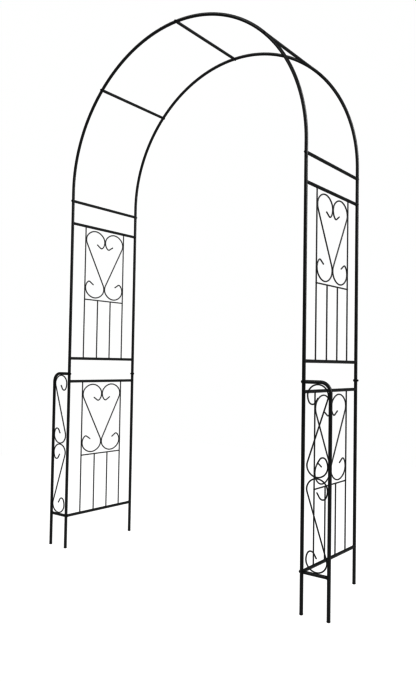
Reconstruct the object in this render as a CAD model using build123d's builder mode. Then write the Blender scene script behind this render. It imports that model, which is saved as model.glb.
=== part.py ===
from build123d import *
import math
import os

# A bolted garden arch of painted steel tube and wire, in millimetres.
# X runs across the walkway, Y through it and Z up. The origin is on the ground, in the
# middle of the footprint. Two hooped frames, front and back, are joined by side panels
# and by bars over the top, and a narrow wing is bolted to each side of the front frame.

# layout, between centre lines
span = 1308.0
depth = 438.0
wing_reach = 110.0
wing_bend_radius = 40.0

# heights, each measured from the one before it
lower_rail_height = 155.0
lower_panel_height = 654.0
leg_joint_rise = 37.0
panel_gap = 113.0
upper_panel_height = 668.0
side_bar_rise = 110.0
spring_rise = 46.0
arch_bar_angles = {"right": 45.0, "top": 90.0, "left": 135.0}

# tube and wire
post_d = 12.7
post_wall = 1.2
rail_d = 12.0
rail_wall = 1.0
wire_d = 4.8

# swaged joints between tubes
swage_clearance = 0.15
swage_grip = 60.0
swage_shoulder = 1.2
seam_to_bolt = 20.0

# panel wires, measured from the middle of the panel or from its top rail
outer_picket_offset = 132.0
inner_picket_offset = 44.0
panel_scroll_drop = 17.0
panel_scroll_height = 340.0
cross_wire_gap = 12.0

# scroll outlines: a straight diagonal with a hooked lobe at each end. The lobe's height is
# a share of the scroll's width. The radii of its side, of the run from there to the hook and
# of the hook itself are shares of half that width.
panel_scroll = {"lobe_share": 0.777, "side_share": 0.609, "run_share": 0.609, "run_turn": 55.0,
                "hook_share": 0.190, "hook_turn": 67.0, "tail": 27.0}
wing_scroll = {"lobe_share": 0.950, "side_share": 0.855, "run_share": 1.190, "run_turn": 30.0,
               "hook_share": 0.356, "hook_turn": 118.0, "tail": 20.0}
wing_scroll_inset = 17.0

# bolts, nuts and threaded inserts
bolt_d = 5.0
bolt_hole_clearance = 0.25
bolt_engagement = 12.3
head_d = 9.5
head_height = 3.2
head_rounding = 1.5
socket_across_flats = 3.0
socket_depth = 1.9
nut_across_flats = 8.0
nut_height = 4.0
thread_protrusion = 1.3
insert_length = 14.0
insert_setback = 1.0

# caps in the bottom ends of the legs, each a head under the tube and a stem inside it
cap_rim = 0.4
cap_head_height = 5.0
cap_stem = 16.0
cap_rounding = 3.3

# sizes that follow from the ones above
hoop_radius = span / 2
lower_top_height = lower_rail_height + lower_panel_height
leg_joint_height = lower_top_height + leg_joint_rise
upper_rail_height = lower_top_height + panel_gap
upper_top_height = upper_rail_height + upper_panel_height
side_bar_height = upper_top_height + side_bar_rise
spring_height = side_bar_height + spring_rise
leg_seam = leg_joint_height - seam_to_bolt
hoop_seam = side_bar_height - seam_to_bolt
post_radius = post_d / 2
post_bore = post_d - 2 * post_wall
rail_bore = rail_d - 2 * rail_wall
swage_d = post_bore - 2 * swage_clearance
swage_bore = swage_d - 2 * post_wall
cross_wire_drop = panel_scroll_drop + panel_scroll_height + cross_wire_gap
bolt_hole_d = bolt_d + 2 * bolt_hole_clearance
apex_seam = 90 + math.degrees(seam_to_bolt / hoop_radius)
swage_turn = math.degrees(swage_grip / hoop_radius)
shoulder_turn = math.degrees(swage_shoulder / hoop_radius)
wire_inset = wire_d / 4

sides = {"left": -1, "right": 1}
faces = {"front": -1, "back": 1}
panels = {"lower": (lower_rail_height, lower_top_height),
          "upper": (upper_rail_height, upper_top_height)}
along_x = (0, 90, 0)
along_y = (90, 0, 0)
upward = (Align.CENTER, Align.CENTER, Align.MIN)

os.makedirs("parts", exist_ok=True)


def finish(piece, label):
    piece.part.label = label
    export_step(piece.part, f"parts/{label}.step")


def hoop_point(angle, y):
    turn = math.radians(angle)
    x = hoop_radius * math.cos(turn)
    z = spring_height + hoop_radius * math.sin(turn)
    return (x, y, z)


def drill(points, direction):
    # Bolt holes straight through both walls of a tube.
    with Locations(*[Location(point, direction) for point in points]):
        Cylinder(bolt_hole_d / 2, 2 * post_d, mode=Mode.SUBTRACT)


def hoop_arc(y, start, turn, outer_d, bore_d):
    # A bent stretch of tube on the hoop's centre line, from one angle through a turn.
    heading = math.radians(start)
    outward = (math.cos(heading), 0, math.sin(heading))
    forward = (-math.sin(heading), 0, math.cos(heading))
    with BuildSketch(Plane(hoop_point(start, y), x_dir=outward, z_dir=forward)) as section:
        Circle(outer_d / 2)
        if bore_d:
            Circle(bore_d / 2, mode=Mode.SUBTRACT)
    revolve(section.sketch, axis=Axis((0, y, spring_height), (0, -1, 0)), revolution_arc=turn)


# The outside of both hooped frames as solid rods, for shaping the ends of what meets them.
with BuildPart() as frame_rods:
    for rod_y in (-depth / 2, depth / 2):
        with Locations((-hoop_radius, rod_y, 0), (hoop_radius, rod_y, 0)):
            Cylinder(post_radius, spring_height, align=upward)
        hoop_arc(rod_y, 0, 180, post_d, 0)


def upright(label, x, y, bottom, seam, bolts):
    # Straight leg tube. Its top is swaged down so that the next tube slides over it.
    with BuildPart() as post:
        with Locations((x, y, bottom)):
            Cylinder(post_radius, seam - bottom, align=upward)
            Cylinder(swage_d / 2, seam - bottom + swage_grip, align=upward)
            Cylinder(post_bore / 2, seam - bottom - swage_shoulder, align=upward, mode=Mode.SUBTRACT)
            Cylinder(swage_bore / 2, seam - bottom + swage_grip, align=upward, mode=Mode.SUBTRACT)
        for point, direction in bolts:
            drill([point], direction)
    finish(post, label)


def hoop_quarter(label, x, y, arc_start, arc_turn, bar_angles, swaged):
    # A quarter of a hoop with the straight end that slides over the leg below it.
    with BuildPart() as quarter:
        with Locations((x, y, hoop_seam)):
            Cylinder(post_radius, spring_height - hoop_seam, align=upward)
            Cylinder(post_bore / 2, spring_height - hoop_seam, align=upward, mode=Mode.SUBTRACT)
        hoop_arc(y, arc_start, arc_turn, post_d, post_bore)
        if swaged:
            hoop_arc(y, apex_seam, shoulder_turn, post_d, swage_bore)
            hoop_arc(y, apex_seam - swage_turn, swage_turn, swage_d, swage_bore)
        drill([(x, y, side_bar_height)], along_y)
        drill([hoop_point(angle, y) for angle in bar_angles], along_y)
    finish(quarter, label)


def cross_tube(label, x, z, bolt_points=()):
    # A horizontal tube from the front frame to the back one, its ends coped to them. A
    # bolt through the leg beside the tube nicks the tips of its coped end.
    with BuildPart() as tube:
        with Locations(Location((x, 0, z), along_y)):
            Cylinder(rail_d / 2, depth)
            Cylinder(rail_bore / 2, depth, mode=Mode.SUBTRACT)
        add(frame_rods.part, mode=Mode.SUBTRACT)
        if bolt_points:
            drill(bolt_points, along_x)
    finish(tube, label)


def picket_set(label, x, bottom, top, cross):
    # Two outer wires over the full panel and two inner ones below the cross wire.
    with BuildPart() as pickets:
        with Locations((x, -outer_picket_offset, bottom), (x, outer_picket_offset, bottom)):
            Cylinder(wire_d / 2, top - bottom, align=upward)
        with Locations((x, -inner_picket_offset, bottom), (x, inner_picket_offset, bottom)):
            Cylinder(wire_d / 2, cross - wire_inset - bottom, align=upward)
        with Locations(Location((x, 0, bottom), along_y), Location((x, 0, top), along_y)):
            Cylinder(rail_d / 2, depth, mode=Mode.SUBTRACT)
        with Locations(Location((x, 0, cross), along_y)):
            Cylinder(wire_d / 2, 2 * (inner_picket_offset + wire_d), mode=Mode.SUBTRACT)
    finish(pickets, label)


def cross_wire(label, x, z):
    with BuildPart() as wire:
        with Locations(Location((x, 0, z), along_y)):
            Cylinder(wire_d / 2, 2 * (outer_picket_offset - wire_inset))
        with Locations((x, -outer_picket_offset, z), (x, outer_picket_offset, z)):
            Cylinder(wire_d / 2, 2 * wire_d, mode=Mode.SUBTRACT)
    finish(wire, label)


def scroll(label, plane, half_width, height, shape):
    # The plane's x points to the side of the upper hook and its y points up. Each lobe is
    # a flat arch arc between two side arcs, and a run arc leads on from the second one to the hook.
    half_lobe = shape["lobe_share"] * half_width
    side_radius = shape["side_share"] * half_width
    side_centre_x = half_width - side_radius
    side_centre_y = height / 2 - half_lobe
    arch_radius = (side_centre_x**2 + half_lobe**2 - side_radius**2) / (2 * (half_lobe - side_radius))
    arch_half_turn = math.degrees(math.atan2(side_centre_x, arch_radius - half_lobe))
    centre_distance = math.hypot(side_centre_x, side_centre_y)
    lean = math.degrees(math.atan2(side_centre_x, side_centre_y) + math.asin(side_radius / centre_distance))
    diagonal_half = math.sqrt(centre_distance**2 - side_radius**2)
    rising = plane.y_dir * math.cos(math.radians(lean)) - plane.x_dir * math.sin(math.radians(lean))
    upper_bend = plane.origin + rising * diagonal_half
    lower_bend = plane.origin - rising * diagonal_half
    bends = [
        (side_radius, 90 + lean - arch_half_turn),
        (arch_radius, 2 * arch_half_turn),
        (side_radius, 90 - arch_half_turn),
        (shape["run_share"] * half_width, shape["run_turn"]),
        (shape["hook_share"] * half_width, shape["hook_turn"]),
    ]
    with BuildPart() as wire:
        with BuildLine(plane) as path:
            Line(lower_bend, upper_bend)
            for point, heading in ((upper_bend, rising), (lower_bend, -rising)):
                for radius, turn in bends:
                    bend = JernArc(point, heading, radius, -turn)
                    point = bend @ 1
                    heading = bend % 1
                Line(point, point + heading * shape["tail"])
        route = path.wire()
        with BuildSketch(Plane(route @ 0, z_dir=route % 0)):
            Circle(wire_d / 2)
        sweep(path=route)
    finish(wire, label)


def wing_frame(label, side):
    # The wing's outer leg, bent over at the top to butt against the front leg beside it.
    post_x = side * (hoop_radius + wing_reach)
    butt_x = side * (hoop_radius + post_radius)
    with BuildPart() as tube:
        with BuildLine() as path:
            foot = (post_x, -depth / 2, cap_head_height)
            corner = (post_x, -depth / 2, leg_joint_height)
            inner_end = (butt_x, -depth / 2, leg_joint_height)
            FilletPolyline(foot, corner, inner_end, radius=wing_bend_radius)
        with BuildSketch(Plane(foot)):
            Circle(post_radius)
            Circle(post_bore / 2, mode=Mode.SUBTRACT)
        sweep(path=path.wire())
    finish(tube, label)


def wing_bar(label, side):
    # The wing's bottom tube, coped to the outer leg and cut square against the front leg.
    butt = Plane((side * (hoop_radius + post_radius), -depth / 2, lower_rail_height),
                 x_dir=(0, 1, 0), z_dir=(side, 0, 0))
    with BuildPart() as tube:
        with BuildSketch(butt):
            Circle(rail_d / 2)
            Circle(rail_bore / 2, mode=Mode.SUBTRACT)
        extrude(amount=wing_reach - post_radius)
        with Locations((side * (hoop_radius + wing_reach), -depth / 2, lower_rail_height)):
            Cylinder(post_radius, 2 * rail_d, mode=Mode.SUBTRACT)
    finish(tube, label)


def bolt_set(label, sites, shank_length):
    # Button-head bolts. Each site is a plane on the tube's surface, its z pointing outward.
    with BuildPart() as bolts:
        for site in sites:
            with BuildSketch(site):
                Circle(head_d / 2)
            head = extrude(amount=head_height)
            crown = head.faces().sort_by(Axis(site.origin, site.z_dir))[-1]
            fillet(crown.edges(), head_rounding)
            with BuildSketch(site.offset(head_height)):
                RegularPolygon(socket_across_flats / 2, 6, major_radius=False)
            extrude(amount=-socket_depth, mode=Mode.SUBTRACT)
            with BuildSketch(site):
                Circle(bolt_d / 2)
            extrude(amount=-shank_length)
    finish(bolts, label)


def insert_set(label, sites, outer_d):
    # Threaded plugs fixed inside the tube ends, set back from the leg they face.
    with BuildPart() as inserts:
        for site in sites:
            with BuildSketch(site.offset(-post_d - insert_setback)):
                Circle(outer_d / 2)
                Circle(bolt_d / 2, mode=Mode.SUBTRACT)
            extrude(amount=-insert_length)
    finish(inserts, label)


for side_name, side in sides.items():
    side_x = side * hoop_radius
    for face_name, face in faces.items():
        post_y = face * depth / 2
        leg_bolt = ((side_x, post_y, leg_joint_height), along_x)
        wing_bolt = ((side_x, post_y, lower_rail_height), along_x)
        hoop_bolt = ((side_x, post_y, side_bar_height), along_y)
        lower_bolts = [leg_bolt, wing_bolt] if face_name == "front" else [leg_bolt]
        upright(f"{side_name}_lower_{face_name}_upright", side_x, post_y, cap_head_height, leg_seam,
                lower_bolts)
        upright(f"{side_name}_upper_{face_name}_upright", side_x, post_y, leg_seam, hoop_seam,
                [leg_bolt, hoop_bolt])

    for panel_name, (bottom, top) in panels.items():
        panel = f"{side_name}_{panel_name}"
        cross = top - cross_wire_drop
        nicks = [(side_x, -depth / 2, bottom)] if panel_name == "lower" else []
        cross_tube(f"{panel}_bottom_rail", side_x, bottom, nicks)
        cross_tube(f"{panel}_top_rail", side_x, top)
        picket_set(f"{panel}_pickets", side_x, bottom, top, cross)
        cross_wire(f"{panel}_cross_wire", side_x, cross)
        inner_line = wire_d / 2
        outer_line = outer_picket_offset - wire_d
        scroll_middle = top - panel_scroll_drop - panel_scroll_height / 2
        for face_name, face in faces.items():
            origin = (side_x, face * (inner_line + outer_line) / 2, scroll_middle)
            plane = Plane(origin, x_dir=(0, -face, 0), z_dir=(-face, 0, 0))
            half_width = (outer_line - inner_line) / 2
            scroll(f"{panel}_{face_name}_scroll", plane, half_width, panel_scroll_height, panel_scroll)

    wing_frame(f"{side_name}_wing_frame", side)
    wing_bar(f"{side_name}_wing_bottom_bar", side)
    wing_outer_line = wing_reach - post_radius - wire_d / 2
    wing_half_width = (wing_outer_line - wing_scroll_inset) / 2
    wing_scroll_x = side * (hoop_radius + wing_scroll_inset + wing_half_width)
    wing_top_line = leg_joint_height - post_radius - wire_d / 2
    wing_bottom_line = lower_rail_height + rail_d / 2 + wire_d / 2
    wing_scroll_height = (wing_top_line - wing_bottom_line - wire_d) / 2
    for level, middle, hook_side in (
        ("upper", wing_top_line - wing_scroll_height / 2, -side),
        ("lower", wing_bottom_line + wing_scroll_height / 2, side),
    ):
        plane = Plane((wing_scroll_x, -depth / 2, middle), x_dir=(hook_side, 0, 0), z_dir=(0, -hook_side, 0))
        scroll(f"{side_name}_wing_{level}_scroll", plane, wing_half_width, wing_scroll_height, wing_scroll)

    cross_tube(f"{side_name}_side_bar", side_x, side_bar_height)

for face_name, face in faces.items():
    hoop_y = face * depth / 2
    hoop_quarter(f"{face_name}_right_hoop", hoop_radius, hoop_y, 0, apex_seam,
                 (arch_bar_angles["right"], arch_bar_angles["top"]), False)
    hoop_quarter(f"{face_name}_left_hoop", -hoop_radius, hoop_y, apex_seam, 180 - apex_seam,
                 (arch_bar_angles["top"], arch_bar_angles["left"]), True)

for bar_name, angle in arch_bar_angles.items():
    bar_x, _, bar_z = hoop_point(angle, 0)
    cross_tube(f"{bar_name}_arch_bar", bar_x, bar_z)

# Bolts along Y hold the five cross bars, with their heads on the outer faces.
bar_ends = [(side * hoop_radius, side_bar_height) for side in sides.values()]
for angle in arch_bar_angles.values():
    bar_x, _, bar_z = hoop_point(angle, 0)
    bar_ends.append((bar_x, bar_z))
bar_sites = []
for face in faces.values():
    for bar_x, bar_z in bar_ends:
        origin = (bar_x, face * (depth / 2 + post_radius), bar_z)
        bar_sites.append(Plane(origin, x_dir=(1, 0, 0), z_dir=(0, face, 0)))
bolt_set("cross_bar_bolts", bar_sites, post_d + bolt_engagement)
insert_set("cross_bar_inserts", bar_sites, rail_bore)

# Bolts along X hold the wings, with their heads towards the walkway.
wing_top_sites = []
wing_bottom_sites = []
back_leg_sites = []
for side in sides.values():
    inner_x = side * (hoop_radius - post_radius)
    for sites, face, height in (
        (wing_top_sites, -1, leg_joint_height),
        (wing_bottom_sites, -1, lower_rail_height),
        (back_leg_sites, 1, leg_joint_height),
    ):
        origin = (inner_x, face * depth / 2, height)
        sites.append(Plane(origin, x_dir=(0, 1, 0), z_dir=(-side, 0, 0)))
bolt_set("wing_bolts", wing_top_sites + wing_bottom_sites, post_d + bolt_engagement)
insert_set("wing_top_inserts", wing_top_sites, post_bore)
insert_set("wing_bottom_inserts", wing_bottom_sites, rail_bore)
bolt_set("back_leg_bolts", back_leg_sites, post_d + nut_height + thread_protrusion)

with BuildPart() as back_leg_nuts:
    for site in back_leg_sites:
        with BuildSketch(site.offset(-post_d)):
            RegularPolygon(nut_across_flats / 2, 6, major_radius=False)
            Circle(bolt_d / 2, mode=Mode.SUBTRACT)
        extrude(amount=-nut_height)
finish(back_leg_nuts, "back_leg_nuts")


def foot_caps(label, points):
    # Rounded end caps, with a small flat under each one to stand on.
    with BuildPart() as caps:
        for x, y in points:
            with Locations((x, y, 0)):
                head = Cylinder(post_radius + cap_rim, cap_head_height, align=upward)
            fillet(head.edges().sort_by(Axis.Z)[0], cap_rounding)
        with Locations(*[(x, y, cap_head_height) for x, y in points]):
            Cylinder(post_bore / 2, cap_stem, align=upward)
    finish(caps, label)


leg_points = [(side * hoop_radius, face * depth / 2) for side in sides.values() for face in faces.values()]
wing_points = [(side * (hoop_radius + wing_reach), -depth / 2) for side in sides.values()]
foot_caps("leg_foot_caps", leg_points)
foot_caps("wing_foot_caps", wing_points)
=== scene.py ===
import math

import bmesh
import bpy
from mathutils import Matrix, Vector, noise


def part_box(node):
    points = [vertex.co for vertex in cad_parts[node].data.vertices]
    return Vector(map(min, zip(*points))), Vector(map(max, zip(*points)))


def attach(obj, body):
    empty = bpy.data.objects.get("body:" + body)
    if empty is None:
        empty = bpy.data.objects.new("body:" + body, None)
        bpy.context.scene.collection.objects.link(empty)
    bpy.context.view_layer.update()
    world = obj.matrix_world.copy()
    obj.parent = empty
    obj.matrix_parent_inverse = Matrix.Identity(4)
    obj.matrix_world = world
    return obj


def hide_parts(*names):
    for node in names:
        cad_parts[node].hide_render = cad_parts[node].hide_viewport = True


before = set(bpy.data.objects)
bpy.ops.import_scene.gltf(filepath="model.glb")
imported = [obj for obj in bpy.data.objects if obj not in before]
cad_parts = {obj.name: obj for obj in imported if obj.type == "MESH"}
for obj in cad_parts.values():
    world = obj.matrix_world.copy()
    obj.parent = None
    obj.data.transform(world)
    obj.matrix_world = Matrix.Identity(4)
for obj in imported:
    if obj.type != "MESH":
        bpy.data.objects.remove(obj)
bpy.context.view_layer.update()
print("frame loaded:", len(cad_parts), "nodes")

millimetre = 0.001
across = Vector((1, 0, 0))
through = Vector((0, 1, 0))
upward = Vector((0, 0, 1))


class Signal:
    # a node's output that can be used in arithmetic
    def __init__(self, finish, socket):
        self.finish = finish
        self.socket = socket

    def reckon(self, operation, left, right):
        return self.finish.node("ShaderNodeMath", {"operation": operation}, {0: left, 1: right})

    def __add__(self, other):
        return self.reckon("ADD", self, other)

    def __radd__(self, other):
        return self.reckon("ADD", other, self)

    def __sub__(self, other):
        return self.reckon("SUBTRACT", self, other)

    def __rsub__(self, other):
        return self.reckon("SUBTRACT", other, self)

    def __mul__(self, other):
        return self.reckon("MULTIPLY", self, other)

    def __rmul__(self, other):
        return self.reckon("MULTIPLY", other, self)


class Finish:
    # one material and the node graph behind it
    def __init__(self, name):
        self.material = bpy.data.materials.new(name)
        self.material.use_nodes = True
        self.tree = self.material.node_tree
        self.shader = self.tree.nodes["Principled BSDF"]

    def feed(self, socket, value):
        if isinstance(value, Signal):
            self.tree.links.new(value.socket, socket)
        else:
            socket.default_value = value

    def node(self, kind, settings=None, sockets=None, output=0):
        made = self.tree.nodes.new(kind)
        for key, value in (settings or {}).items():
            if key == "stops":
                ramp = made.color_ramp
                while len(ramp.elements) < len(value):
                    ramp.elements.new(0.5)
                for element, (place, shade) in zip(ramp.elements, value):
                    element.position = place
                    element.color = shade
            else:
                setattr(made, key, value)
        for key, value in (sockets or {}).items():
            self.feed(made.inputs[key], value)
        return Signal(self, made.outputs[output])

    def surface(self, **sockets):
        for key, value in sockets.items():
            self.feed(self.shader.inputs[key.replace("_", " ")], value)

    def place(self):
        return self.node("ShaderNodeTexCoord", output="Object")

    def grain(self, size, detail, roughness):
        # noise whose blotches are about this many metres across
        sockets = {"Vector": self.place(), "Scale": 1 / size}
        sockets.update(Detail=detail, Roughness=roughness)
        return self.node("ShaderNodeTexNoise", None, sockets)

    def window(self, value, low, high):
        sockets = {"Value": value, "From Min": low, "From Max": high}
        return self.node("ShaderNodeMapRange", {"interpolation_type": "SMOOTHSTEP"}, sockets)

    def blend(self, factor, first, second):
        sockets = {0: factor, 6: first, 7: second}
        return self.node("ShaderNodeMix", {"data_type": "RGBA"}, sockets, output=2)

    def relief(self, height, distance):
        sockets = {"Height": height, "Distance": distance, "Strength": 1.0}
        return self.node("ShaderNodeBump", None, sockets)

    def facing(self, axis):
        # how far the surface looks along an axis, from -1 to 1
        normal = self.node("ShaderNodeNewGeometry", output="Normal")
        return self.node("ShaderNodeSeparateXYZ", None, {0: normal}, output=axis)


def coatedSteel(name, look):
    # satin powder coat: orange peel, faint mottling, and dust where it can settle
    finish = Finish(name)
    peel = finish.grain(look["peelSize"], 1.5, 0.45)
    fine = finish.grain(look["grainSize"], 2.0, 0.6)
    mottle = finish.window(finish.grain(look["mottleSize"], 4.0, 0.6), *look["mottleWindow"])
    specks = finish.window(finish.grain(look["speckSize"], 3.0, 0.7), *look["speckWindow"])
    top = finish.window(finish.facing("Z"), *look["dustSlope"])
    dust = top * mottle * look["dust"] + specks * look["specks"]
    shade = finish.blend(mottle, look["dark"], look["light"])
    colour = finish.blend(dust, shade, look["dustColour"])
    roughness = look["roughness"] + mottle * look["roughnessSpread"] + dust * look["dustRoughness"]
    height = peel * look["peelShare"] + fine * (1 - look["peelShare"])
    finish.surface(Base_Color=colour, Roughness=roughness)
    finish.surface(Normal=finish.relief(height, look["relief"]))
    finish.surface(Specular_IOR_Level=look["specular"])
    return finish.material


tubeCoat = {
    "dark": (0.027, 0.0285, 0.0285, 1),
    "light": (0.036, 0.038, 0.038, 1),
    "dustColour": (0.16, 0.157, 0.148, 1),
    "peelSize": 1.9 * millimetre,
    "peelShare": 0.75,
    "grainSize": 0.35 * millimetre,
    "mottleSize": 46 * millimetre,
    "mottleWindow": (0.3, 0.7),
    "speckSize": 1.2 * millimetre,
    "speckWindow": (0.62, 0.74),
    "specks": 0.03,
    "dust": 0.05,
    "dustSlope": (0.25, 0.95),
    "dustRoughness": 0.35,
    "roughness": 0.36,
    "roughnessSpread": 0.09,
    "relief": 0.09 * millimetre,
    "specular": 0.5,
}
wireCoat = dict(tubeCoat, peelSize=1.3 * millimetre, mottleSize=30 * millimetre, roughness=0.4,
                relief=0.07 * millimetre)
weldCoat = dict(tubeCoat, peelSize=0.9 * millimetre, mottleSize=6 * millimetre, roughness=0.43,
                relief=0.12 * millimetre, dust=0.08)


def blackenedBolt(look):
    # blackened steel heads: fine turning marks and rubbed crowns
    finish = Finish("blackened_bolt")
    rub = finish.window(finish.grain(look["rubSize"], 4.0, 0.65), *look["rubWindow"])
    fine = finish.grain(look["grainSize"], 3.0, 0.6)
    colour = finish.blend(rub * look["rub"], look["dark"], look["bare"])
    roughness = look["roughness"] + fine * look["grainRoughness"] - rub * look["rubPolish"]
    finish.surface(Base_Color=colour, Roughness=roughness, Metallic=look["metallic"])
    finish.surface(Normal=finish.relief(fine, look["relief"]))
    return finish.material


boltLook = {
    "dark": (0.016, 0.016, 0.017, 1),
    "bare": (0.13, 0.13, 0.13, 1),
    "rub": 0.35,
    "rubSize": 2.4 * millimetre,
    "rubWindow": (0.5, 0.72),
    "rubPolish": 0.08,
    "grainSize": 0.3 * millimetre,
    "grainRoughness": 0.12,
    "roughness": 0.3,
    "metallic": 0.65,
    "relief": 0.03 * millimetre,
}


def platedSteel(look):
    # zinc plate on the threaded plugs inside the tube ends
    finish = Finish("plated_steel")
    spangle = finish.grain(look["spangleSize"], 2.0, 0.5)
    colour = finish.blend(spangle, look["dark"], look["light"])
    roughness = look["roughness"] + spangle * look["roughnessSpread"]
    finish.surface(Base_Color=colour, Roughness=roughness, Metallic=1.0)
    return finish.material


plateLook = {
    "dark": (0.42, 0.41, 0.38, 1),
    "light": (0.66, 0.66, 0.64, 1),
    "spangleSize": 1.6 * millimetre,
    "roughness": 0.28,
    "roughnessSpread": 0.18,
}


def mouldedCap(look):
    # soft black plastic with a fine spark texture, scuffed pale where it meets the ground
    finish = Finish("moulded_cap")
    height = finish.node("ShaderNodeSeparateXYZ", None, {0: finish.place()}, output="Z")
    spark = finish.grain(look["sparkSize"], 3.0, 0.65)
    blotch = finish.grain(look["scuffSize"], 5.0, 0.7)
    low = 1 - finish.window(height, 0.0, look["scuffHeight"])
    scuff = low * finish.window(blotch, *look["scuffWindow"])
    colour = finish.blend(scuff * look["scuff"], look["dark"], look["scuffColour"])
    roughness = look["roughness"] + spark * look["sparkRoughness"] + scuff * look["scuffRoughness"]
    finish.surface(Base_Color=colour, Roughness=roughness)
    finish.surface(Normal=finish.relief(spark + scuff * look["scuffRelief"], look["relief"]))
    finish.surface(Specular_IOR_Level=look["specular"])
    return finish.material


capLook = {
    "dark": (0.011, 0.011, 0.0115, 1),
    "scuffColour": (0.12, 0.115, 0.105, 1),
    "scuff": 0.4,
    "scuffSize": 2.2 * millimetre,
    "scuffHeight": 6 * millimetre,
    "scuffWindow": (0.42, 0.66),
    "scuffRoughness": 0.1,
    "scuffRelief": 0.5,
    "sparkSize": 0.5 * millimetre,
    "sparkRoughness": 0.14,
    "roughness": 0.56,
    "specular": 0.4,
    "relief": 0.06 * millimetre,
}

finishes = {
    "tube": coatedSteel("tube_powder_coat", tubeCoat),
    "wire": coatedSteel("wire_powder_coat", wireCoat),
    "weld": coatedSteel("weld_powder_coat", weldCoat),
    "bolt": blackenedBolt(boltLook),
    "plate": platedSteel(plateLook),
    "cap": mouldedCap(capLook),
}
print("finishes made:", len(finishes))


def middle(node):
    low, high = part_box(node)
    return (low + high) / 2


def extent(node):
    low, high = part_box(node)
    return high - low


tubeRadius = extent("left_lower_back_upright").x / 2
railRadius = extent("left_upper_top_rail").x / 2
wireRadius = extent("left_upper_cross_wire").x / 2
hoopRadius = middle("right_upper_back_upright").x
frameDepth = middle("right_upper_back_upright").y
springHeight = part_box("front_right_hoop")[1].z - tubeRadius - hoopRadius
seamAngle = math.pi / 2 + math.asin(-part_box("front_right_hoop")[0].x / (hoopRadius + tubeRadius))


def tangents(points, closed=False):
    found = []
    last = len(points) - 1
    for index, point in enumerate(points):
        before = points[index - 1] if index or closed else point
        after = points[(index + 1) % len(points)] if index < last or closed else point
        found.append((after - before).normalized())
    return found


def joinRings(mesh, low, high):
    sides = len(low)
    for side in range(sides):
        after = (side + 1) % sides
        mesh.faces.new((low[side], low[after], high[after], high[side]))


def addSweep(mesh, points, flat, radii, sides, shift=None):
    # a round rod along planar points; flat is the direction square to their plane, and shift
    # moves the vertices of the two end rings along the rod
    rings = []
    first = flat.normalized()
    for index, (point, tangent) in enumerate(zip(points, tangents(points))):
        second = tangent.cross(flat).normalized()
        ring = []
        for side in range(sides):
            turn = math.tau * side / sides
            offset = (first * math.cos(turn) + second * math.sin(turn)) * radii[index]
            place = point + offset
            if shift and index in (0, len(points) - 1):
                place += tangent * shift(index, offset)
            ring.append(mesh.verts.new(place))
        rings.append(ring)
    for low, high in zip(rings, rings[1:]):
        joinRings(mesh, low, high)
    mesh.faces.new(list(reversed(rings[0])))
    mesh.faces.new(rings[-1])


# each ring of a rolled end: how far in it lies and how far out it reaches, as shares of the roll
rollSteps = ((0.0, 0.62), (0.12, 0.84), (0.38, 0.95), (1.0, 1.0))


def rounded(points, radius, edge):
    # adds rings that roll the ends of a rod in, and gives every ring's radius
    first = (points[1] - points[0]).normalized()
    last = (points[-1] - points[-2]).normalized()
    start, end = [], []
    for along, out in rollSteps:
        size = radius - edge * (1 - out)
        start.append((points[0] + first * edge * along, size))
        end.insert(0, (points[-1] - last * edge * along, size))
    rings = start + [(point, radius) for point in points[1:-1]] + end
    return [point for point, _ in rings], [size for _, size in rings]


def straight(start, end, spacing):
    count = max(2, round((end - start).length / spacing))
    return [start.lerp(end, index / count) for index in range(count + 1)]


def arc(centre, radius, first, last, spacing):
    # points on a circle in the plane of the hoops, by angle from +X towards +Z
    count = max(4, round(abs(last - first) * radius / spacing))
    points = []
    for index in range(count + 1):
        angle = first + (last - first) * index / count
        points.append(centre + Vector((math.cos(angle), 0, math.sin(angle))) * radius)
    return points


def finishPiece(name, mesh, finish, stands=()):
    bmesh.ops.recalc_face_normals(mesh, faces=mesh.faces)
    data = bpy.data.meshes.new(name)
    mesh.to_mesh(data)
    mesh.free()
    data.polygons.foreach_set("use_smooth", [True] * len(data.polygons))
    data.materials.append(finishes[finish])
    piece = bpy.data.objects.new(name, data)
    bpy.context.scene.collection.objects.link(piece)
    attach(piece, "root")
    if stands:
        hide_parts(*stands)
    return piece


tubing = {
    "sides": 40,
    "rollIn": 0.55 * millimetre,
    "spacing": 9 * millimetre,
    "legSpacing": 45 * millimetre,
    "seamGap": 0.1 * millimetre,
}


def makeTube(name, points, flat, node):
    path, radii = rounded(points, tubeRadius, tubing["rollIn"])
    mesh = bmesh.new()
    addSweep(mesh, path, flat, radii, tubing["sides"])
    return finishPiece(name, mesh, "tube", [node])


def makeUpright(side, level, face):
    node = f"{side}_{level}_{face}_upright"
    above = f"{side}_upper_{face}_upright" if level == "lower" else f"{face}_{side}_hoop"
    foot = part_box(node)[0].z + (tubing["seamGap"] if level == "upper" else 0)
    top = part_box(above)[0].z - tubing["seamGap"]
    centre = middle(node)
    start = Vector((centre.x, centre.y, foot))
    end = Vector((centre.x, centre.y, top))
    path = straight(start, end, tubing["legSpacing"])
    makeTube(f"{side}_{level}_{face}_leg_tube", path, across, node)


def makeHoop(side, face):
    node = f"{face}_{side}_hoop"
    sign = 1 if side == "right" else -1
    y = frameDepth if face == "back" else -frameDepth
    foot = Vector((sign * hoopRadius, y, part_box(node)[0].z + tubing["seamGap"]))
    spring = Vector((sign * hoopRadius, y, springHeight))
    centre = Vector((0, y, springHeight))
    gap = tubing["seamGap"] / hoopRadius
    first, last = (0, seamAngle - gap) if side == "right" else (math.pi, seamAngle + gap)
    curve = arc(centre, hoopRadius, first, last, tubing["spacing"])
    path = straight(foot, spring, tubing["spacing"])[:-1] + curve
    makeTube(f"{face}_{side}_hoop_tube", path, through, node)


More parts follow.
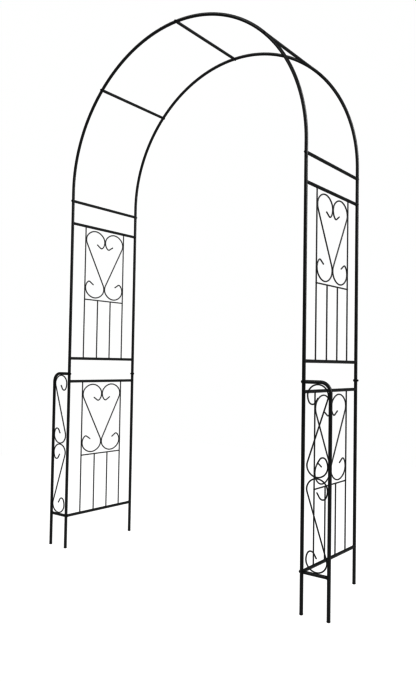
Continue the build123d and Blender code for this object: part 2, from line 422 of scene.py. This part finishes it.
for side in ("left", "right"):
    for face in ("front", "back"):
        for level in ("lower", "upper"):
            makeUpright(side, level, face)
        makeHoop(side, face)
print("uprights and hoops made")


rod = {
    "railSides": 36,
    "wireSides": 24,
    "copeBackOff": 1.5 * millimetre,
    "endRing": 6 * millimetre,
    "spacing": 45 * millimetre,
}


def copeShift(sideways, matingRadius):
    # how far an end ring pulls back from the axis of the round piece that it meets
    def shift(index, offset):
        reach = offset.dot(sideways)
        back = math.sqrt(max(matingRadius**2 - reach**2, 0))
        return back if index == 0 else -back
    return shift


def addCoped(mesh, start, end, radius, sideways, startMate, endMate, sides):
    # start and end lie on the axes of the pieces that the rod meets
    length = (end - start).length
    inset = max(startMate, endMate) + rod["copeBackOff"]
    plain = inset + rod["endRing"]
    count = max(2, round((length - 2 * plain) / rod["spacing"]))
    stretch = (length - 2 * plain) / count
    distances = [0, inset, plain]
    distances += [plain + stretch * step for step in range(1, count)]
    distances += [length - plain, length - inset, length]
    points = [start.lerp(end, distance / length) for distance in distances]
    startShift = copeShift(sideways, startMate)
    endShift = copeShift(sideways, endMate)

    def shift(index, offset):
        return startShift(0, offset) if index == 0 else endShift(1, offset)

    addSweep(mesh, points, sideways, [radius] * len(points), sides, shift=shift)


bead = {
    "sides": 10,
    "step": 0.42 * millimetre,
    "rippleLength": 1.5 * millimetre,
    "outset": 0.25,
    "standOff": 0.2,
    "wander": 0.25,
    "wobbleScale": 1.7,
    "thickness": 0.92,
    "ripple": 0.14,
    "wobble": 0.22,
}


def addBead(mesh, axisPoint, direction, sideways, radius, mateRadius, size, seed):
    # a rippled weld round the end of a coped rod; direction leads away from the mating axis
    other = direction.cross(sideways).normalized()
    count = max(36, round(math.tau * radius / bead["step"]))
    ripples = max(7, round(math.tau * radius / bead["rippleLength"]))
    points = []
    radii = []
    for index in range(count):
        turn = math.tau * index / count
        cosine, sine = math.cos(turn), math.sin(turn)
        offset = (sideways * cosine + other * sine) * (radius + size * bead["outset"])
        reach = min(abs(offset.dot(sideways)), mateRadius)
        back = math.sqrt(mateRadius**2 - reach**2) + size * bead["standOff"]
        scale = bead["wobbleScale"]
        wobble = noise.noise(Vector((seed * 7.3, cosine * scale, sine * scale)))
        points.append(axisPoint + offset + direction * (back + wobble * size * bead["wander"]))
        ripple = bead["ripple"] * math.sin(turn * ripples + seed)
        radii.append(size * (bead["thickness"] + ripple + bead["wobble"] * wobble))
    addLoop(mesh, points, radii, bead["sides"])


def addLoop(mesh, points, radii, sides):
    # a closed bead through points that need not lie in one plane
    centre = sum(points, Vector()) / len(points)
    rings = []
    for point, tangent, radius in zip(points, tangents(points, True), radii):
        outward = (point - centre).normalized()
        outward = (outward - tangent * outward.dot(tangent)).normalized()
        side = tangent.cross(outward)
        ring = []
        for step in range(sides):
            turn = math.tau * step / sides
            offset = (outward * math.cos(turn) + side * math.sin(turn)) * radius
            ring.append(mesh.verts.new(point + offset))
        rings.append(ring)
    for low, high in zip(rings, rings[1:] + rings[:1]):
        joinRings(mesh, low, high)


tack = {
    "length": 8.5 * millimetre,
    "width": 3.0 * millimetre,
    "lift": 0.62,
    "flatness": 0.72,
    "lumpScale": 3.1,
    "lumps": 0.16,
    "rippleCount": 26,
    "ripple": 0.05,
}


def addTack(mesh, place, along, facing, seed):
    # a short weld blob lying in the valley between two round pieces
    sideways = along.cross(facing).normalized()
    width = tack["width"]
    axes = (along * tack["length"], sideways * width, facing * width * tack["flatness"])
    basis = Matrix(axes).transposed().to_4x4()
    basis.translation = place
    made = bmesh.ops.create_icosphere(mesh, subdivisions=3, radius=0.5, matrix=Matrix.Identity(4))
    for vertex in made["verts"]:
        rough = noise.noise(vertex.co * tack["lumpScale"] + Vector((seed * 3.7, seed, 0)))
        ripple = tack["ripple"] * math.sin(vertex.co.x * tack["rippleCount"] + seed)
        vertex.co = basis @ (vertex.co * (1 + tack["lumps"] * rough + ripple))


def makeCrossTube(node, name, tangent):
    # a bar or rail between the front and back frames; tangent is the frame tube's own direction
    centre = middle(node)
    start = Vector((centre.x, -frameDepth, centre.z))
    end = Vector((centre.x, frameDepth, centre.z))
    sideways = tangent.cross(through).normalized()
    mesh = bmesh.new()
    addCoped(mesh, start, end, railRadius, sideways, tubeRadius, tubeRadius, rod["railSides"])
    finishPiece(name, mesh, "tube", [node])
    return start, end, sideways


welding = {"rail": 1.25 * millimetre, "wire": 0.75 * millimetre}
for side in ("left", "right"):
    makeCrossTube(f"{side}_side_bar", f"{side}_side_bar_tube", upward)
for name in ("left", "top", "right"):
    centre = middle(f"{name}_arch_bar")
    outward = Vector((centre.x, 0, centre.z - springHeight)).normalized()
    makeCrossTube(f"{name}_arch_bar", f"{name}_arch_bar_tube", outward.cross(through))
print("cross bars made")


# the lobe is a share of the scroll's width; the radii of its side, of the run from there to the
# hook and of the hook itself are shares of half that width
panelScroll = {"lobeShare": 0.777, "sideShare": 0.609, "runShare": 0.609, "runTurn": 55,
               "hookShare": 0.190, "hookTurn": 67, "tail": 27 * millimetre}
wingScroll = {"lobeShare": 0.950, "sideShare": 0.855, "runShare": 1.190, "runTurn": 30,
              "hookShare": 0.356, "hookTurn": 118, "tail": 20 * millimetre}
scrollWire = {"sides": 22, "step": 2.2 * millimetre, "rollIn": 0.7 * millimetre}


def scrollOutline(halfWidth, height, shape):
    # a diagonal with a hooked lobe at each end, as points from one tail to the other
    halfLobe = shape["lobeShare"] * halfWidth
    side = shape["sideShare"] * halfWidth
    centreX = halfWidth - side
    centreY = height / 2 - halfLobe
    archRadius = (centreX**2 + halfLobe**2 - side**2) / (2 * (halfLobe - side))
    archHalfTurn = math.atan2(centreX, archRadius - halfLobe)
    reach = math.hypot(centreX, centreY)
    lean = math.atan2(centreX, centreY) + math.asin(side / reach)
    run = math.sqrt(reach**2 - side**2)
    bends = [(side, math.pi / 2 + lean - archHalfTurn), (archRadius, 2 * archHalfTurn),
             (side, math.pi / 2 - archHalfTurn),
             (shape["runShare"] * halfWidth, math.radians(shape["runTurn"])),
             (shape["hookShare"] * halfWidth, math.radians(shape["hookTurn"]))]
    heading = math.pi / 2 + lean
    place = Vector((math.cos(heading), math.sin(heading))) * run
    half = [place.copy()]
    for radius, turn in bends:
        count = max(6, round(radius * turn / scrollWire["step"]))
        for _ in range(count):
            chord = 2 * radius * math.sin(turn / count / 2)
            middleHeading = heading - turn / count / 2
            place = place + Vector((math.cos(middleHeading), math.sin(middleHeading))) * chord
            heading -= turn / count
            half.append(place.copy())
    half.append(place + Vector((math.cos(heading), math.sin(heading))) * shape["tail"])
    steps = round(2 * run / (6 * scrollWire["step"]))
    diagonal = [half[0] * (1 - 2 * step / steps) for step in range(1, steps)]
    return list(reversed(half)) + diagonal + [-point for point in half]


def makeScroll(node, hookSide, shape):
    # hookSide points from the scroll's middle to the side of its upper hook
    low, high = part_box(node)
    centre = (low + high) / 2
    size = high - low
    halfWidth = abs(size.dot(hookSide)) / 2 - wireRadius
    outline = scrollOutline(halfWidth, size.z - 2 * wireRadius, shape)
    points = [centre + hookSide * point.x + upward * point.y for point in outline]
    path, radii = rounded(points, wireRadius, scrollWire["rollIn"])
    mesh = bmesh.new()
    addSweep(mesh, path, hookSide.cross(upward), radii, scrollWire["sides"])
    finishPiece(f"{node}_wire", mesh, "wire", [node])
    return centre, halfWidth + wireRadius, size.z / 2 - wireRadius - shape["lobeShare"] * halfWidth


def makePickets(panel, bottom, top, cross, x, welds):
    # the four upright wires, and a weld at each of their ends
    low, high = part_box(f"{panel}_pickets")
    outer = high.y - wireRadius
    inner = outer / 3
    rods = bmesh.new()
    seed = 0
    for y in (-outer, outer, -inner, inner):
        longWire = abs(y) > (outer + inner) / 2
        end = top if longWire else cross
        mate = railRadius if longWire else wireRadius
        start = Vector((x, y, bottom))
        tip = Vector((x, y, end))
        addCoped(rods, start, tip, wireRadius, across, railRadius, mate, rod["wireSides"])
        addBead(welds, start, upward, across, wireRadius, railRadius, welding["wire"], seed + 1)
        addBead(welds, tip, -upward, across, wireRadius, mate, welding["wire"], seed + 2)
        seed += 2
    finishPiece(f"{panel}_picket_wires", rods, "wire", [f"{panel}_pickets"])
    return outer


def makePanel(side, level):
    panel = f"{side}_{level}"
    x = middle(f"{panel}_cross_wire").x
    bottom = middle(f"{panel}_bottom_rail").z
    top = middle(f"{panel}_top_rail").z
    cross = middle(f"{panel}_cross_wire").z
    welds = bmesh.new()
    seed = x * 10 + top
    for rail in ("bottom", "top"):
        node = f"{panel}_{rail}_rail"
        start, end, sideways = makeCrossTube(node, f"{node}_tube", upward)
        addBead(welds, start, through, sideways, railRadius, tubeRadius, welding["rail"], seed)
        addBead(welds, end, -through, sideways, railRadius, tubeRadius, welding["rail"], seed + 3)
        seed += 1.7
    outer = makePickets(panel, bottom, top, cross, x, welds)

    wire = bmesh.new()
    start, end = Vector((x, -outer, cross)), Vector((x, outer, cross))
    addCoped(wire, start, end, wireRadius, across, wireRadius, wireRadius, rod["wireSides"])
    finishPiece(f"{panel}_cross_wire_rod", wire, "wire", [f"{panel}_cross_wire"])
    addBead(welds, start, through, across, wireRadius, wireRadius, welding["wire"], seed)
    addBead(welds, end, -through, across, wireRadius, wireRadius, welding["wire"], seed + 1)

    for face, hookSide in (("front", through), ("back", -through)):
        centre, halfWidth, lobe = makeScroll(f"{panel}_{face}_scroll", hookSide, panelScroll)
        for height in (centre.z + lobe, centre.z - lobe):
            for look in (across, -across):
                seed += 1
                lift = look * wireRadius * tack["lift"]
                outerTouch = Vector((x, centre.y - hookSide.y * halfWidth, height)) + lift
                addTack(welds, outerTouch, upward, look, seed)
                if face == "front":
                    addTack(welds, Vector((x, 0, height)) + lift, upward, look, seed)
    finishPiece(f"{panel}_panel_welds", welds, "weld")


for side in ("left", "right"):
    for level in ("lower", "upper"):
        makePanel(side, level)
print("side panels made")


wing = {
    "bendRadius": 40 * millimetre,
    "bendSteps": 18,
    "legSpacing": 40 * millimetre,
    "topSpacing": 8 * millimetre,
    "barSpacing": 14 * millimetre,
}


def makeWing(side):
    sign = 1 if side == "right" else -1
    out = across * sign
    low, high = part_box(f"{side}_wing_frame")
    legX = (high.x - tubeRadius) if sign > 0 else (low.x + tubeRadius)
    buttX = low.x if sign > 0 else high.x
    y = -frameDepth
    topZ = high.z - tubeRadius
    bend = wing["bendRadius"]
    foot = Vector((legX, y, low.z))
    centre = Vector((legX - sign * bend, y, topZ - bend))
    turnStart, turnEnd = (0, math.pi / 2) if sign > 0 else (math.pi, math.pi / 2)
    curve = arc(centre, bend, turnStart, turnEnd, bend * math.pi / 2 / wing["bendSteps"])
    leg = straight(foot, curve[0], wing["legSpacing"])[:-1]
    over = straight(curve[-1], Vector((buttX, y, topZ)), wing["topSpacing"])[1:]
    makeTube(f"{side}_wing_frame_tube", leg + curve + over, through, f"{side}_wing_frame")

    welds = bmesh.new()
    barZ = middle(f"{side}_wing_bottom_bar").z
    legPoint = Vector((legX, y, barZ))
    bar = bmesh.new()
    butt = Vector((buttX, y, barZ))
    points = straight(butt, legPoint, wing["barSpacing"])
    cope = copeShift(through, tubeRadius)

    def shift(index, offset):
        return cope(1, offset) if index else 0

    addSweep(bar, points, through, [railRadius] * len(points), rod["railSides"], shift=shift)
    node = f"{side}_wing_bottom_bar"
    finishPiece(f"{node}_tube", bar, "tube", [node])
    addBead(welds, legPoint, -out, through, railRadius, tubeRadius, welding["rail"], sign * 5)

    seed = 20 * sign
    for level, hookSide in (("upper", -out), ("lower", out)):
        centre, halfWidth, lobe = makeScroll(f"{side}_wing_{level}_scroll", hookSide, wingScroll)
        halfHeight = extent(f"{side}_wing_{level}_scroll").z / 2
        for look in (through, -through):
            lift = look * wireRadius * tack["lift"]
            for height in (centre.z + lobe, centre.z - lobe):
                seed += 1
                touch = Vector((centre.x, y, height)) + out * halfWidth + lift
                addTack(welds, touch, upward, look, seed)
            edge = 1 if level == "upper" else -1
            tip = Vector((centre.x, y, centre.z + edge * halfHeight)) + lift
            addTack(welds, tip, across, look, seed + 0.5)
            if level == "upper":
                join = Vector((centre.x, y, centre.z - halfHeight)) + lift
                addTack(welds, join, across, look, seed + 0.7)
    finishPiece(f"{side}_wing_welds", welds, "weld")


for side in ("left", "right"):
    makeWing(side)
print("wings made")


# pieces that stay as they are in the frame, and their finishes
kept = {
    "cross_bar_bolts": "bolt",
    "wing_bolts": "bolt",
    "back_leg_bolts": "bolt",
    "back_leg_nuts": "bolt",
    "cross_bar_inserts": "plate",
    "wing_top_inserts": "plate",
    "wing_bottom_inserts": "plate",
    "leg_foot_caps": "cap",
    "wing_foot_caps": "cap",
}
for node, finish in kept.items():
    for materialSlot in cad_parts[node].material_slots:
        materialSlot.material = finishes[finish]
print("bolts, inserts and caps finished")


studio = {
    "contrast": 0.52,
    "floorSize": 7,
    "floorColour": (0.08, 0.08, 0.08, 1),
    "floorGlow": 0.94,
    "backdrop": (1, 1, 1, 1),
    "ambient": (0.16, 0.16, 0.16, 1),
    "sun": {"turn": (38, 0, -28), "power": 1.8, "softness": 55},
    "lights": {
        "key": {"place": (-3.2, -4.2, 5.2), "aim": (0, 0, 1.2), "size": 3.0, "power": 110},
        "rim": {"place": (4.8, 1.0, 4.0), "aim": (0.4, 0, 1.9), "size": 4.0, "power": 560},
    },
}
camera = {
    "place": (1.855, -2.338, 0.907),
    "yaw": 37.909,
    "pitch": 1.974,
    "roll": 0.919,
    "lens": 34.54,
}


def makeFloor():
    data = bpy.data.meshes.new("floor")
    half = studio["floorSize"] / 2
    corners = [(-half, -half, 0), (half, -half, 0), (half, half, 0), (-half, half, 0)]
    data.from_pydata(corners, [], [(0, 1, 2, 3)])
    floor = bpy.data.objects.new("floor", data)
    bpy.context.scene.collection.objects.link(floor)
    finish = Finish("pale_floor")
    finish.surface(Base_Color=studio["floorColour"], Roughness=0.9, Specular_IOR_Level=0.1)
    finish.surface(Emission_Color=studio["backdrop"], Emission_Strength=studio["floorGlow"])
    data.materials.append(finish.material)


def makeSky():
    # the backdrop is white to the eye, while the light that it throws on the arch is dim
    world = bpy.data.worlds.new("studio_sky")
    world.use_nodes = True
    nodes, links = world.node_tree.nodes, world.node_tree.links
    background = nodes["Background"]
    seen = nodes.new("ShaderNodeLightPath")
    mix = nodes.new("ShaderNodeMix")
    mix.data_type = "RGBA"
    mix.inputs[6].default_value = studio["ambient"]
    mix.inputs[7].default_value = studio["backdrop"]
    links.new(seen.outputs["Is Camera Ray"], mix.inputs[0])
    links.new(mix.outputs[2], background.inputs["Color"])
    bpy.context.scene.world = world


def makeSun(look):
    data = bpy.data.lights.new("sun", "SUN")
    data.energy = look["power"]
    data.angle = math.radians(look["softness"])
    sun = bpy.data.objects.new("sun", data)
    sun.rotation_euler = [math.radians(turn) for turn in look["turn"]]
    bpy.context.scene.collection.objects.link(sun)


def makeLight(name, look):
    data = bpy.data.lights.new(name, "AREA")
    data.size = look["size"]
    data.energy = look["power"]
    light = bpy.data.objects.new(name, data)
    light.location = look["place"]
    beam = Vector(look["aim"]) - light.location
    light.rotation_euler = beam.to_track_quat("-Z", "Y").to_euler()
    bpy.context.scene.collection.objects.link(light)


def makeCamera():
    yaw, pitch, roll = (math.radians(camera[key]) for key in ("yaw", "pitch", "roll"))
    level = Vector((math.cos(yaw), math.sin(yaw), 0))
    onward = upward.cross(level)
    ahead = onward * math.cos(pitch) + upward * math.sin(pitch)
    rise = level.cross(ahead)
    right = level * math.cos(roll) + rise * math.sin(roll)
    top = rise * math.cos(roll) - level * math.sin(roll)
    data = bpy.data.cameras.new("camera")
    data.lens = camera["lens"]
    data.sensor_width = 36
    data.sensor_fit = "AUTO"
    eye = bpy.data.objects.new("camera", data)
    turned = Matrix((right, top, -ahead)).transposed().to_4x4()
    turned.translation = Vector(camera["place"])
    eye.matrix_world = turned
    bpy.context.scene.collection.objects.link(eye)
    bpy.context.scene.camera = eye


makeFloor()
makeSky()
makeSun(studio["sun"])
for name, look in studio["lights"].items():
    makeLight(name, look)
makeCamera()
bpy.context.scene.view_settings.view_transform = "Standard"
bpy.context.scene.view_settings.gamma = studio["contrast"]
print("floor, lights and camera set")
